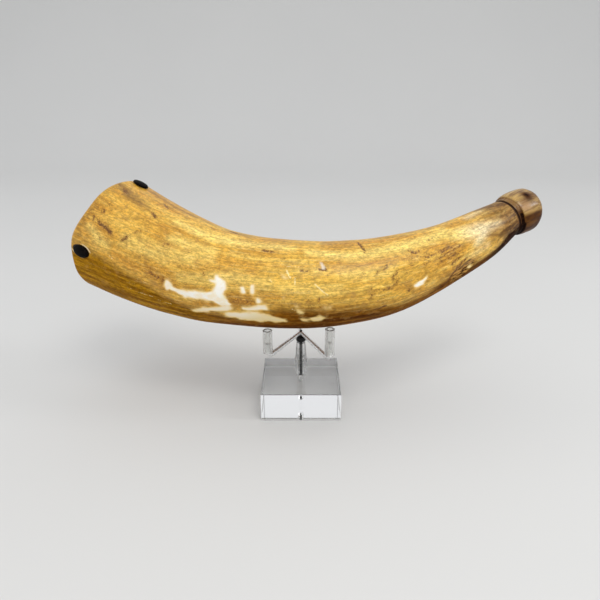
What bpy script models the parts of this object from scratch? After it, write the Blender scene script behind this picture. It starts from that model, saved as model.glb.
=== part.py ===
"""Powder horn on a clear display stand.

A curved cow horn with a carved pouring knob lies across three sleeved arms that
rise from a post in a clear block. Metres, +Z up. The origin is the centre of the
block's underside, +X runs towards the knob and the front is towards -Y.
"""

import math

import bmesh
import bpy
from mathutils import Matrix, Vector
from mathutils.bvhtree import BVHTree

MM = 0.001
GAP = 0.3 * MM
CUT_PAST = 1.0 * MM
MERGE_DISTANCE = 0.01 * MM
SHARP_ANGLE = math.radians(40.0)
UP = Vector((0.0, 0.0, 1.0))

# Display block and the clear boss round the foot of the post
BASE_WIDTH = 50.8 * MM
BASE_DEPTH = 50.8 * MM
BASE_HEIGHT = 18.4 * MM
BASE_EDGE = 0.4 * MM
BASE_EDGE_SEGMENTS = 2
BOSS_HEIGHT = 23.0 * MM
BOSS_DIAMETER = 8.4 * MM
BOSS_FOOT_DIAMETER = 6.4 * MM
BOSS_WIDEST_HEIGHT = 6.0 * MM
BOSS_TOP_WALL = 1.2 * MM
BOSS_STEPS = 4
BOSS_SIDES = 24

# Chrome post, its collar and the three bent arms
POST_SETBACK = 3.5 * MM
POST_DIAMETER = 2.8 * MM
POST_SOCKET = 13.0 * MM
POST_SIDES = 20
JUNCTION_RISE = 30.3 * MM
POST_CROWN_STEPS = 3
COLLAR_DROP = 2.4 * MM
COLLAR_HEIGHT = 4.4 * MM
COLLAR_DIAMETER = 6.4 * MM
COLLAR_EDGE = 1.0 * MM
ROD_DIAMETER = 2.8 * MM
ROD_SIDES = 10
ARM_DROOP = math.radians(13.2)
ELBOW_RADIUS = 2.4 * MM
ELBOW_STEPS = 5

# Clear sleeves on the arm ends, and where round the horn each one touches it
SLEEVE_DIAMETER = 6.0 * MM
SLEEVE_OVERHANG = 8.8 * MM
SLEEVE_SIDES = 20
FRONT_CONTACT_ANGLE = math.radians(-20.5)
BACK_CONTACT_ANGLE = math.radians(75.0)
LEFT_SPREAD = -20.5 * MM
RIGHT_SPREAD = 17.6 * MM
BACK_SPREAD = -1.5 * MM

# Centreline of the horn: a plane curve whose bend fades towards both ends
HORN_LENGTH = 277.0 * MM
HORN_ABOVE_JUNCTION = 10.5 * MM
HORN_MIDDLE_X = 4.5 * MM
HORN_FORWARD = 12.5 * MM
BEND_RADIUS = 168.7 * MM
BEND_FADE = 0.73
BEND_TOWARDS_NECK = 0.13
CURVE_YAW = math.radians(-7.9)
CURVE_LEAN = math.radians(56.8)
MIDDLE_HEADING = math.radians(5.0)
AXIS_STEPS = 200

# Outside of the horn: diameters at shares of its length, from the rim to the neck
RIM_DIAMETER = 76.2 * MM
BUTT_SHARE = 0.17
BUTT_DIAMETER = 67.4 * MM
BODY_SHARE = 0.35
BODY_DIAMETER = 56.7 * MM
MIDDLE_SHARE = 0.52
MIDDLE_DIAMETER = 52.7 * MM
TAPER_SHARE = 0.68
TAPER_DIAMETER = 47.1 * MM
THROAT_SHARE = 0.82
THROAT_DIAMETER = 36.6 * MM
TIP_SHARE = 0.92
TIP_DIAMETER = 31.3 * MM
NECK_DIAMETER = 24.0 * MM
HORN_RINGS = 34
HORN_SIDES = 36

# The horn's tip and knob are nodes of their own, so that their narrow bore stays open
HORN_TIP_LENGTH = 40.0 * MM
NECK_ON_KNOB = 1.5 * MM

# Carved pouring knob: a chamfered shoulder, a swelling body and a rounded end
KNOB_DIAMETER = 28.8 * MM
KNOB_LENGTH = 21.4 * MM
KNOB_FOOT_TILT = math.radians(2.7)
KNOB_BEND_RADIUS = 64.0 * MM
KNOB_FOOT_STEP = 0.3 * MM
KNOB_SHOULDER = 2.6 * MM
KNOB_SHOULDER_DIAMETER = 25.0 * MM
KNOB_WIDEST = 11.2 * MM
KNOB_ROUNDING = 6.9 * MM
KNOB_END_DIAMETER = 15.0 * MM
KNOB_STEPS = 6
KNOB_SWELL_STEPS = 4
NECK_INTO_KNOB = 4.0 * MM

# Hollow of the horn and the bore through its tip
WALL_AT_BUTT = 3.8 * MM
WALL_AT_NECK = 12.5 * MM
WALL_POWER = 3
BORE_DIAMETER = 8.0 * MM
CAVITY_RINGS = 24
CAVITY_SIDES = 28

# Wooden plug in the butt
PLUG_RECESS = 2.0 * MM
PLUG_THICKNESS = 18.0 * MM
PLUG_DOME = 1.6 * MM
PLUG_DOME_STEPS = 4

# Oval pegs round the rim, each at an angle from the top towards the front
PEG_FROM_RIM = 7.4 * MM
PEG_LENGTH = 11.4 * MM
PEG_WIDTH = 7.5 * MM
PEG_PROUD = 2.3 * MM
PEG_CROWN = 1.2 * MM
PEG_CROWN_STEPS = 3
PEG_SHANK_LENGTH = 7.0 * MM
PEG_SHANK_DEPTH = 11.0 * MM
PEG_SIDES = 20
PEG_FRONT_ANGLE = math.radians(88.0)
PEG_TOP_ANGLE = math.radians(-12.5)
PEG_BACK_ANGLE = math.radians(-142.0)

COLLECTION_NAME = "powder_horn"


def clear_scene():
    """Remove every object that the file starts with."""
    for found in list(bpy.data.objects):
        bpy.data.objects.remove(found, do_unlink=True)


def new_collection(name):
    """Make a collection under the scene's own."""
    made = bpy.data.collections.new(name)
    bpy.context.scene.collection.children.link(made)
    return made


def new_material(name, color, roughness, metallic=0.0, transmission=0.0):
    """Make a plain Principled material."""
    material = bpy.data.materials.new(name)
    material.use_nodes = True
    shader = material.node_tree.nodes["Principled BSDF"]
    shader.inputs["Base Color"].default_value = (*color, 1.0)
    shader.inputs["Roughness"].default_value = roughness
    shader.inputs["Metallic"].default_value = metallic
    shader.inputs["Transmission Weight"].default_value = transmission
    material.diffuse_color = (*color, 1.0)
    return material


def add_object(name, mesh, collection, material=None):
    """Link a mesh as a named object, smooth where its faces nearly agree."""
    made = bpy.data.objects.new(name, mesh)
    collection.objects.link(made)
    if material is not None:
        mesh.materials.clear()
        mesh.materials.append(material)
    mesh.shade_smooth()
    mesh.set_sharp_from_angle(angle=SHARP_ANGLE)
    return made


def mark_cutter(cutter):
    """Keep a cutter out of the model and show it as a wire."""
    cutter.hide_render = True
    cutter.display_type = "WIRE"
    return cutter


def add_boolean(target, cutter, operation):
    """Cut or join with an exact Boolean that stays on the object."""
    modifier = target.modifiers.new(cutter.name, "BOOLEAN")
    modifier.operation = operation
    modifier.solver = "EXACT"
    modifier.object = cutter


def tube_mesh(name, points, radii, sides):
    """Sweep a round section along points, one radius for each, and close it."""
    curve = bpy.data.curves.new(name, "CURVE")
    curve.dimensions = "3D"
    curve.bevel_depth = 1.0
    curve.bevel_resolution = sides // 2 - 2
    curve.use_fill_caps = True
    spline = curve.splines.new("POLY")
    spline.points.add(len(points) - 1)
    for spot, point, radius in zip(spline.points, points, radii):
        spot.co = (*point, 1.0)
        spot.radius = radius
    holder = bpy.data.objects.new(name + "_curve", curve)
    bpy.context.scene.collection.objects.link(holder)
    graph = bpy.context.evaluated_depsgraph_get()
    mesh = bpy.data.meshes.new_from_object(holder.evaluated_get(graph))
    mesh.name = name
    bpy.data.objects.remove(holder, do_unlink=True)
    bpy.data.curves.remove(curve)
    shape = bmesh.new()
    shape.from_mesh(mesh)
    bmesh.ops.remove_doubles(shape, verts=shape.verts, dist=MERGE_DISTANCE)
    bmesh.ops.recalc_face_normals(shape, faces=shape.faces)
    shape.to_mesh(mesh)
    shape.free()
    return mesh


def turned_object(name, profile, sides, collection, material=None, closed=False):
    """Turn a profile of (radius, height) points, top to bottom, about its own Z."""
    shape = bmesh.new()
    corners = [shape.verts.new((radius, 0.0, height)) for radius, height in profile]
    for first, second in zip(corners, corners[1:]):
        shape.edges.new((first, second))
    if closed:
        shape.edges.new((corners[-1], corners[0]))
    mesh = bpy.data.meshes.new(name)
    shape.to_mesh(mesh)
    shape.free()
    made = add_object(name, mesh, collection, material)
    screw = made.modifiers.new("turn", "SCREW")
    screw.axis = "Z"
    screw.angle = 2.0 * math.pi
    screw.steps = sides
    screw.render_steps = sides
    screw.use_merge_vertices = True
    screw.merge_threshold = MERGE_DISTANCE
    screw.use_smooth_shade = True
    return made


def quarter_angles(steps):
    """Angles from one step past 0 to a right angle, in equal steps."""
    return [0.5 * math.pi * (step + 1) / steps for step in range(steps)]


def smooth_value(stations, share):
    """Read a value at a share of the length from a smooth curve through stations."""
    shares = [station[0] for station in stations]
    values = [station[1] for station in stations]
    last = len(stations) - 1
    slopes = []
    for index in range(len(stations)):
        before = max(index - 1, 0)
        after = min(index + 1, last)
        slopes.append((values[after] - values[before]) / (shares[after] - shares[before]))
    right = 1
    while right < last and share > shares[right]:
        right += 1
    left = right - 1
    width = shares[right] - shares[left]
    t = (share - shares[left]) / width
    value = (2 * t**3 - 3 * t**2 + 1) * values[left]
    value += (t**3 - 2 * t**2 + t) * width * slopes[left]
    value += (3 * t**2 - 2 * t**3) * values[right]
    value += (t**3 - t**2) * width * slopes[right]
    return value


def horn_radius(share):
    """Outside radius of the horn at a share of its length."""
    stations = (
        (0.0, RIM_DIAMETER),
        (BUTT_SHARE, BUTT_DIAMETER),
        (BODY_SHARE, BODY_DIAMETER),
        (MIDDLE_SHARE, MIDDLE_DIAMETER),
        (TAPER_SHARE, TAPER_DIAMETER),
        (THROAT_SHARE, THROAT_DIAMETER),
        (TIP_SHARE, TIP_DIAMETER),
        (1.0, NECK_DIAMETER),
    )
    return smooth_value(stations, share) / 2.0


def cavity_radius(share):
    """Radius of the hollow, which narrows to the bore before the neck."""
    wall = WALL_AT_BUTT + (WALL_AT_NECK - WALL_AT_BUTT) * share**WALL_POWER
    return max(horn_radius(share) - wall, BORE_DIAMETER / 2.0)


def arms_meeting_point():
    """Point in the junction where the arms' centrelines meet."""
    return Vector((0.0, POST_SETBACK, BASE_HEIGHT + JUNCTION_RISE))


class HornAxis:
    """Centreline of the horn, read by distance from the butt."""

    def __init__(self):
        across = Vector((math.cos(CURVE_YAW), math.sin(CURVE_YAW), 0.0))
        back = Vector((-math.sin(CURVE_YAW), math.cos(CURVE_YAW), 0.0))
        rise = math.cos(CURVE_LEAN) * UP + math.sin(CURVE_LEAN) * back
        step = HORN_LENGTH / AXIS_STEPS
        self.points = [Vector((0.0, 0.0, 0.0))]
        self.tangents = [self.direction(0.0, across, rise)]
        for index in range(AXIS_STEPS):
            middle = self.direction((index + 0.5) / AXIS_STEPS, across, rise)
            self.points.append(self.points[-1] + middle * step)
            self.tangents.append(self.direction((index + 1) / AXIS_STEPS, across, rise))
        place = arms_meeting_point() + Vector((0.0, -HORN_FORWARD, HORN_ABOVE_JUNCTION))
        place.x = HORN_MIDDLE_X
        place.z += horn_radius(0.5)
        shift = place - self.points[AXIS_STEPS // 2]
        self.points = [point + shift for point in self.points]

    @staticmethod
    def direction(share, across, rise):
        """Unit direction at a share of the length."""
        span = 2.0 * share - 1.0
        bend = span - BEND_FADE * span**3 / 3.0 + BEND_TOWARDS_NECK * span**2 / 2.0
        heading = MIDDLE_HEADING + HORN_LENGTH / (2.0 * BEND_RADIUS) * bend
        return math.cos(heading) * across + math.sin(heading) * rise

    def at(self, distance):
        """Point and tangent at a distance from the butt, straight on past each end."""
        inside = min(max(distance, 0.0), HORN_LENGTH)
        place = inside / HORN_LENGTH * AXIS_STEPS
        index = min(int(place), AXIS_STEPS - 1)
        blend = place - index
        point = self.points[index].lerp(self.points[index + 1], blend)
        tangent = self.tangents[index].lerp(self.tangents[index + 1], blend).normalized()
        return point + tangent * (distance - inside), tangent

    def upright_frame(self, distance):
        """Point, tangent, upward normal and front normal at a distance."""
        point, tangent = self.at(distance)
        upward = (UP - tangent * UP.dot(tangent)).normalized()
        return point, tangent, upward, tangent.cross(upward)

    def under(self, x, angle):
        """Surface point at x, turned by angle from straight below towards the back."""
        index = 0
        while index < AXIS_STEPS - 1 and self.points[index + 1].x < x:
            index += 1
        before = self.points[index]
        after = self.points[index + 1]
        blend = (x - before.x) / (after.x - before.x)
        radius = horn_radius((index + blend) / AXIS_STEPS)
        outward = Vector((0.0, math.sin(angle), -math.cos(angle)))
        return before.lerp(after, blend) + radius * outward


def frame_matrix(place, x_way, y_way, z_way):
    """Placement with its own three directions."""
    turn = Matrix((x_way, y_way, z_way)).transposed().to_4x4()
    return Matrix.Translation(place) @ turn


def knob_stations():
    """Heights over the neck's end and radii of the knob, from its foot to its tip."""
    full = KNOB_DIAMETER / 2.0
    end = KNOB_END_DIAMETER / 2.0
    shoulder = KNOB_SHOULDER_DIAMETER / 2.0
    start = KNOB_LENGTH - KNOB_ROUNDING
    stations = [(0.0, NECK_DIAMETER / 2.0 + KNOB_FOOT_STEP), (KNOB_SHOULDER, shoulder)]
    for angle in quarter_angles(KNOB_SWELL_STEPS):
        rise = KNOB_SHOULDER + (KNOB_WIDEST - KNOB_SHOULDER) * (1.0 - math.cos(angle))
        stations.append((rise, shoulder + (full - shoulder) * math.sin(angle)))
    stations.append((start, full))
    for angle in quarter_angles(KNOB_STEPS):
        radius = end + (full - end) * math.cos(angle)
        stations.append((start + KNOB_ROUNDING * math.sin(angle), radius))
    return stations


def knob_point(axis, height):
    """Point on the knob's centreline, which bends down from the neck."""
    neck, tangent, upward, front = axis.upright_frame(HORN_LENGTH)
    turned = KNOB_FOOT_TILT + height / KNOB_BEND_RADIUS
    ahead = KNOB_BEND_RADIUS * (math.sin(turned) - math.sin(KNOB_FOOT_TILT))
    drop = KNOB_BEND_RADIUS * (math.cos(KNOB_FOOT_TILT) - math.cos(turned))
    return neck + ahead * tangent - drop * upward


def make_hollow(axis, cutters):
    """Hollow of the horn, open at the butt, with the bore through the knob."""
    distances = [HORN_LENGTH * index / CAVITY_RINGS for index in range(CAVITY_RINGS + 1)]
    radii = [cavity_radius(distance / HORN_LENGTH) for distance in distances]
    distances.insert(0, -CUT_PAST)
    radii.insert(0, radii[0])
    points = [axis.at(distance)[0] for distance in distances]
    for height in (KNOB_LENGTH / 2.0, KNOB_LENGTH + CUT_PAST):
        points.append(knob_point(axis, height))
        radii.append(BORE_DIAMETER / 2.0)
    mesh = tube_mesh("horn_hollow", points, radii, CAVITY_SIDES)
    return mark_cutter(add_object("horn_hollow", mesh, cutters))


def end_side(name, axis, start, cutters):
    """Cutter over all of the horn past a distance from the rim."""
    reach = HORN_LENGTH - start + KNOB_LENGTH + CUT_PAST
    profile = [(0.0, reach), (RIM_DIAMETER, reach), (RIM_DIAMETER, 0.0), (0.0, 0.0)]
    side = mark_cutter(turned_object(name, profile, HORN_SIDES, cutters))
    place, tangent, upward, front = axis.upright_frame(start)
    side.matrix_world = frame_matrix(place, upward, tangent.cross(upward), tangent)
    return side


def make_horn(axis, parts, cutters, material):
    """Carved horn: curved body, neck and knob, hollowed from the butt and bored."""
    distances = [HORN_LENGTH * index / HORN_RINGS for index in range(HORN_RINGS + 1)]
    radii = [horn_radius(distance / HORN_LENGTH) for distance in distances]
    distances.append(HORN_LENGTH + NECK_INTO_KNOB)
    radii.append(NECK_DIAMETER / 2.0)
    points = [axis.at(distance)[0] for distance in distances]
    mesh = tube_mesh("horn", points, radii, HORN_SIDES)
    horn = add_object("horn", mesh, parts, material)
    tip = add_object("horn_tip", mesh.copy(), parts, material)
    knob = add_object("horn_knob", mesh.copy(), parts, material)

    stations = knob_stations()
    points = [knob_point(axis, height) for height, radius in stations]
    radii = [radius for height, radius in stations]
    mesh = tube_mesh("knob_form", points, radii, HORN_SIDES)
    form = mark_cutter(add_object("knob_form", mesh, cutters))
    add_boolean(knob, form, "UNION")

    tip_side = end_side("tip_side", axis, HORN_LENGTH - HORN_TIP_LENGTH, cutters)
    knob_side = end_side("knob_side", axis, HORN_LENGTH - NECK_ON_KNOB, cutters)
    add_boolean(horn, tip_side, "DIFFERENCE")
    add_boolean(tip, tip_side, "INTERSECT")
    add_boolean(tip, knob_side, "DIFFERENCE")
    add_boolean(knob, knob_side, "INTERSECT")
    hollow = make_hollow(axis, cutters)
    for piece in (horn, tip, knob):
        add_boolean(piece, hollow, "DIFFERENCE")
    return horn


def make_plug(axis, parts, material):
    """Wooden plug that follows the hollow's taper, with a low domed face."""
    face = cavity_radius(PLUG_RECESS / HORN_LENGTH) - GAP
    inner_end = PLUG_RECESS + PLUG_THICKNESS
    distances = []
    radii = []
    for angle in quarter_angles(PLUG_DOME_STEPS):
        distances.append(PLUG_RECESS - PLUG_DOME * math.cos(angle))
        radii.append(face * math.sin(angle))
    distances.append(inner_end)
    radii.append(cavity_radius(inner_end / HORN_LENGTH) - GAP)
    points = [axis.at(distance)[0] for distance in distances]
    mesh = tube_mesh("butt_plug", points, radii, CAVITY_SIDES)
    return add_object("butt_plug", mesh, parts, material)


def rim_frame(axis, angle):
    """Placement on the horn near the rim: X along the horn, Z straight out."""
    centre, tangent, upward, front = axis.upright_frame(PEG_FROM_RIM)
    normal = math.cos(angle) * upward + math.sin(angle) * front
    near = horn_radius((PEG_FROM_RIM - PEG_LENGTH / 2.0) / HORN_LENGTH)
    far = horn_radius((PEG_FROM_RIM + PEG_LENGTH / 2.0) / HORN_LENGTH)
    slope = (far - near) / PEG_LENGTH
    along = (tangent + normal * slope).normalized()
    out = (normal - tangent * slope).normalized()
    place = centre + normal * horn_radius(PEG_FROM_RIM / HORN_LENGTH)
    return frame_matrix(place, along, out.cross(along), out)


def peg_profile():
    """Head and shank of a peg as a round profile, before it is flattened."""
    head = PEG_LENGTH / 2.0
    shank = PEG_SHANK_LENGTH / 2.0
    profile = [(0.0, PEG_PROUD)]
    for angle in quarter_angles(PEG_CROWN_STEPS):
        drop = PEG_CROWN * (1.0 - math.cos(angle))
        profile.append((head * math.sin(angle), PEG_PROUD - drop))
    profile.append((head, GAP))
    profile.append((shank, GAP))
    profile.append((shank, -PEG_SHANK_DEPTH))
    profile.append((0.0, -PEG_SHANK_DEPTH))
    return profile


def make_pegs(axis, horn, plug, parts, cutters, material):
    """Oval pegs driven through the horn's wall into the plug."""
    flatten = Matrix.Diagonal((1.0, PEG_WIDTH / PEG_LENGTH, 1.0, 1.0))
    socket = PEG_SHANK_LENGTH / 2.0 + GAP * PEG_LENGTH / PEG_WIDTH
    bottom = -PEG_SHANK_DEPTH - GAP
    hole_profile = [(0.0, PEG_PROUD), (socket, PEG_PROUD), (socket, bottom), (0.0, bottom)]
    angles = {
        "peg_front": PEG_FRONT_ANGLE,
        "peg_top": PEG_TOP_ANGLE,
        "peg_back": PEG_BACK_ANGLE,
    }
    for name, angle in angles.items():
        frame = rim_frame(axis, angle) @ flatten
        peg = turned_object(name, peg_profile(), PEG_SIDES, parts, material)
        peg.matrix_world = frame
        hole = mark_cutter(turned_object(name + "_hole", hole_profile, PEG_SIDES, cutters))
        hole.matrix_world = frame
        add_boolean(horn, hole, "DIFFERENCE")
        add_boolean(plug, hole, "DIFFERENCE")


def boss_profile():
    """Clear boss: swells from its foot, then tapers up the post."""
    widest = BOSS_DIAMETER / 2.0
    foot = BOSS_FOOT_DIAMETER / 2.0
    top = POST_DIAMETER / 2.0 + GAP + BOSS_TOP_WALL
    profile = [(0.0, BOSS_HEIGHT), (top, BOSS_HEIGHT), (widest, BOSS_WIDEST_HEIGHT)]
    for angle in quarter_angles(BOSS_STEPS):
        radius = foot + (widest - foot) * math.cos(angle)
        profile.append((radius, BOSS_WIDEST_HEIGHT * (1.0 - math.sin(angle))))
    profile.append((foot, -CUT_PAST))
    profile.append((0.0, -CUT_PAST))
    return profile


def make_base(parts, cutters, material):
    """Clear block with the boss joined to it and a socket for the post."""
    bpy.ops.mesh.primitive_cube_add(size=1.0, location=(0.0, 0.0, BASE_HEIGHT / 2.0))
    base = bpy.context.object
    base.name = "display_base"
    base.data.name = "display_base"
    for corner in base.data.vertices:
        corner.co.x *= BASE_WIDTH
        corner.co.y *= BASE_DEPTH
        corner.co.z *= BASE_HEIGHT
    for holder in list(base.users_collection):
        holder.objects.unlink(base)
    parts.objects.link(base)
    base.data.materials.append(material)
    bevel = base.modifiers.new("edges", "BEVEL")
    bevel.width = BASE_EDGE
    bevel.segments = BASE_EDGE_SEGMENTS

    foot = Vector((0.0, POST_SETBACK, BASE_HEIGHT))
    boss = mark_cutter(turned_object("boss", boss_profile(), BOSS_SIDES, cutters))
    boss.location = foot
    add_boolean(base, boss, "UNION")

    radius = POST_DIAMETER / 2.0 + GAP
    top = BOSS_HEIGHT + CUT_PAST
    bottom = -POST_SOCKET - GAP
    profile = [(0.0, top), (radius, top), (radius, bottom), (0.0, bottom)]
    socket = mark_cutter(turned_object("post_socket", profile, POST_SIDES, cutters))
    socket.location = foot
    add_boolean(base, socket, "DIFFERENCE")
    return base


def elbow_setback():
    """Distance from an elbow's corner to the start and end of its bend."""
    return ELBOW_RADIUS * math.tan((0.5 * math.pi + ARM_DROOP) / 2.0)


def arm_route(tip):
    """Points of an arm: out and down from the junction, round the elbow and up."""
    start = arms_meeting_point()
    outward = Vector((tip.x - start.x, tip.y - start.y, 0.0))
    reach = outward.length
    outward.normalize()
    slant = math.cos(ARM_DROOP) * outward - math.sin(ARM_DROOP) * UP
    corner = start + slant * (reach / math.cos(ARM_DROOP))
    centre = corner + UP * elbow_setback() - outward * ELBOW_RADIUS
    route = [start, corner - slant * elbow_setback()]
    for step in range(1, ELBOW_STEPS + 1):
        angle = (0.5 * math.pi + ARM_DROOP) * step / ELBOW_STEPS - ARM_DROOP
        turned = math.sin(angle) * outward - math.cos(angle) * UP
        route.append(centre + ELBOW_RADIUS * turned)
    route.append(tip - UP * SLEEVE_OVERHANG)
    return route


def sleeve_spots(axis):
    """Place of each sleeve, against the horn at its own angle round it."""
    radius = SLEEVE_DIAMETER / 2.0
    front = Vector((0.0, -radius, 0.0))
    back = Vector((0.0, radius, 0.0))
    return {
        "sleeve_front_left": axis.under(LEFT_SPREAD, FRONT_CONTACT_ANGLE) + front,
        "sleeve_front_right": axis.under(RIGHT_SPREAD, FRONT_CONTACT_ANGLE) + front,
        "sleeve_back": axis.under(BACK_SPREAD, BACK_CONTACT_ANGLE) + back,
    }


def underside_over(tree, spot):
    """Lowest height of the horn over the centre and edge of a sleeve's top."""
    spots = [(spot.x, spot.y)]
    for step in range(SLEEVE_SIDES):
        angle = 2.0 * math.pi * step / SLEEVE_SIDES
        x = spot.x + SLEEVE_DIAMETER / 2.0 * math.cos(angle)
        y = spot.y + SLEEVE_DIAMETER / 2.0 * math.sin(angle)
        spots.append((x, y))
    hits = [tree.ray_cast(Vector((x, y, 0.0)), UP)[0] for x, y in spots]
    return min(hit.z for hit in hits if hit is not None)


def make_cradle(tips, parts, cutters, material):
    """Chrome post with its collar and three bent arms as one welded piece."""
    post = POST_DIAMETER / 2.0
    collar = COLLAR_DIAMETER / 2.0
    bottom = -COLLAR_DROP - COLLAR_HEIGHT
    foot = -JUNCTION_RISE - POST_SOCKET
    profile = [(0.0, post)]
    for angle in quarter_angles(POST_CROWN_STEPS):
        profile.append((post * math.sin(angle), post * math.cos(angle)))
    profile.append((post, -COLLAR_DROP))
    profile.append((collar - COLLAR_EDGE, -COLLAR_DROP))
    profile.append((collar, -COLLAR_DROP - COLLAR_EDGE))
    profile.append((collar, bottom + COLLAR_EDGE))
    profile.append((collar - COLLAR_EDGE, bottom))
    profile.append((post, bottom))
    profile.append((post, foot))
    profile.append((0.0, foot))
    cradle = turned_object("cradle", profile, POST_SIDES, parts, material)
    cradle.location = arms_meeting_point()
    rod = ROD_DIAMETER / 2.0
    for name, tip in tips.items():
        route = arm_route(tip)
        mesh = tube_mesh("arm_" + name, route, [rod] * len(route), ROD_SIDES)
        arm = mark_cutter(add_object("arm_" + name, mesh, cutters))
        add_boolean(cradle, arm, "UNION")
    return cradle


def make_sleeve(name, tip, parts, material):
    """Clear tube from just above the elbow to the horn's underside."""
    start = arms_meeting_point()
    outer = SLEEVE_DIAMETER / 2.0
    inner = ROD_DIAMETER / 2.0 + GAP
    reach = math.hypot(tip.x - start.x, tip.y - start.y)
    bottom = start.z - reach * math.tan(ARM_DROOP) + elbow_setback() - tip.z
    profile = [(outer, 0.0), (outer, bottom), (inner, bottom), (inner, 0.0)]
    sleeve = turned_object(name, profile, SLEEVE_SIDES, parts, material, closed=True)
    sleeve.location = tip
    return sleeve


def build():
    """Make the whole model."""
    clear_scene()
    parts = new_collection(COLLECTION_NAME)
    cutters = new_collection("cutters")
    horn_look = new_material("horn", (0.62, 0.38, 0.10), 0.30)
    wood_look = new_material("plug_wood", (0.30, 0.17, 0.08), 0.60)
    peg_look = new_material("dark_peg", (0.02, 0.015, 0.012), 0.40)
    acrylic_look = new_material("clear_acrylic", (0.95, 0.97, 0.97), 0.02, transmission=1.0)
    chrome_look = new_material("chrome", (0.80, 0.80, 0.80), 0.08, metallic=1.0)
    vinyl_look = new_material("clear_vinyl", (0.90, 0.90, 0.90), 0.12, transmission=1.0)

    axis = HornAxis()
    horn = make_horn(axis, parts, cutters, horn_look)
    plug = make_plug(axis, parts, wood_look)
    make_pegs(axis, horn, plug, parts, cutters, peg_look)
    make_base(parts, cutters, acrylic_look)

    tree = BVHTree.FromObject(horn, bpy.context.evaluated_depsgraph_get())
    tips = {}
    for name, spot in sleeve_spots(axis).items():
        tips[name] = Vector((spot.x, spot.y, underside_over(tree, spot) - GAP))
    make_cradle(tips, parts, cutters, chrome_look)
    for name, tip in tips.items():
        make_sleeve(name, tip, parts, vinyl_look)


build()
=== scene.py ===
"""Looks and lighting of a powder horn on a clear display stand."""

import math
from types import SimpleNamespace

import bpy
import numpy as np
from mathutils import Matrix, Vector


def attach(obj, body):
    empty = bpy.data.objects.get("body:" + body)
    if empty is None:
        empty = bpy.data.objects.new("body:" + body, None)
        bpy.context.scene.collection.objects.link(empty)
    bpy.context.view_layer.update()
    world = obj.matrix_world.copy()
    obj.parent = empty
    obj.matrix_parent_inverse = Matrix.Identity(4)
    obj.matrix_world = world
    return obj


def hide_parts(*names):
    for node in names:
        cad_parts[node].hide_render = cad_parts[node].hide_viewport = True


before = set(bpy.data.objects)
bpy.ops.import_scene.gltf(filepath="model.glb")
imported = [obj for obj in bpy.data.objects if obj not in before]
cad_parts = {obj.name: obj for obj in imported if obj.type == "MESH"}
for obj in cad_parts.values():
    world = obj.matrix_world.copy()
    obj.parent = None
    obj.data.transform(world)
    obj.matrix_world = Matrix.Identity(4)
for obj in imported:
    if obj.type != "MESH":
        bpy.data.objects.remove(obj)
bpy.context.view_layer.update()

MM = 0.001

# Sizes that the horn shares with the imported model, in millimetres and degrees
BASE_HEIGHT = 18.4
POST_SETBACK = 3.5
JUNCTION_RISE = 30.3
HORN_LENGTH = 277.0
HORN_ABOVE_JUNCTION = 10.5
HORN_MIDDLE_X = 4.5
HORN_FORWARD = 12.5
BEND_RADIUS = 168.7
BEND_FADE = 0.73
BEND_TOWARDS_NECK = 0.13
CURVE_YAW = -7.9
CURVE_LEAN = 56.8
MIDDLE_HEADING = 5.0
AXIS_STEPS = 200
DIAMETERS = (
    (0.0, 76.2), (0.17, 67.4), (0.35, 56.7), (0.52, 52.7),
    (0.68, 47.1), (0.82, 36.6), (0.92, 31.3), (1.0, 24.0),
)
KNOB_DIAMETER = 28.8
KNOB_LENGTH = 21.4
KNOB_FOOT_TILT = 2.7
KNOB_BEND_RADIUS = 64.0
KNOB_FOOT_STEP = 0.3
KNOB_SHOULDER = 2.6
KNOB_SHOULDER_DIAMETER = 25.0
KNOB_WIDEST = 11.2
KNOB_ROUNDING = 6.9
KNOB_END_DIAMETER = 15.0
WALL_AT_BUTT = 3.8
WALL_AT_NECK = 12.5
WALL_POWER = 3
BORE_DIAMETER = 8.0
POST_RADIUS = 1.4
COLLAR_RADIUS = 3.2
COLLAR_TOP = 46.3
COLLAR_BOTTOM = 41.9
PEG_FROM_RIM = 7.4
PEG_LENGTH = 11.4
PEG_WIDTH = 7.5
PEG_FRONT_ANGLE = 88.0

# How far the real horn sags below its smooth curve, at distances from the rim
SAG = (
    (0.0, 0.0), (60.0, 0.3), (78.0, 0.6), (94.0, 0.05), (110.0, -0.3),
    (130.0, -0.3), (148.0, 0.0), (165.0, 0.25), (178.0, 0.7), (190.0, 0.7),
    (205.0, 0.25), (224.0, -0.15), (240.0, -0.2), (255.0, 0.0), (277.0, 0.0),
)

# Density of the detailed horn: 0 degrees is its top and 90 its front
SIDES = 256
OUTER_RINGS = 320
HOLLOW_RINGS = 22
SWELL_STEPS = 10
ROUNDING_STEPS = 14
DEGREES = np.arange(SIDES) * 360.0 / SIDES
TURN = np.radians(DEGREES)

# Small forms of the detailed horn, in millimetres
FIRST_OUTER_RING = 0.5
FIRST_HOLLOW_RING = 0.6
RIM_WAVE_REACH = 6.0
RIM_INNER_EDGE = 0.15
RIM_OUTER_EDGE = 0.25
FOOT_SLOPE_REACH = 16.0
RELIEF_END = 3.0
KNOB_BEVEL = 0.25
SHOULDER_BEVEL = 0.2
FACETS = 11
FACET_DEPTH = 0.16
FACET_TURN = 0.4
KNOB_UNEVENNESS = 0.06
BORE_INSET = 0.3
BORE_CHAMFER = 0.25

# Rings across the edge of the rim: share of the wall, and distance towards the knob
RIM_RINGS = ((0.0, 0.45), (0.12, 0.1), (0.35, 0.0), (0.65, 0.0), (0.88, 0.1))

# Camera: place in metres, tilt in degrees, focal length in pixels of a 600 frame,
# and the row of that frame that its axis meets
CAMERA_PLACE = (-0.0006, -0.34366, 0.2085)
CAMERA_TILT = 21.5
FOCAL_PIXELS = 584.0
FRAME_PIXELS = 600.0
AXIS_ROW = 299.0

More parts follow.
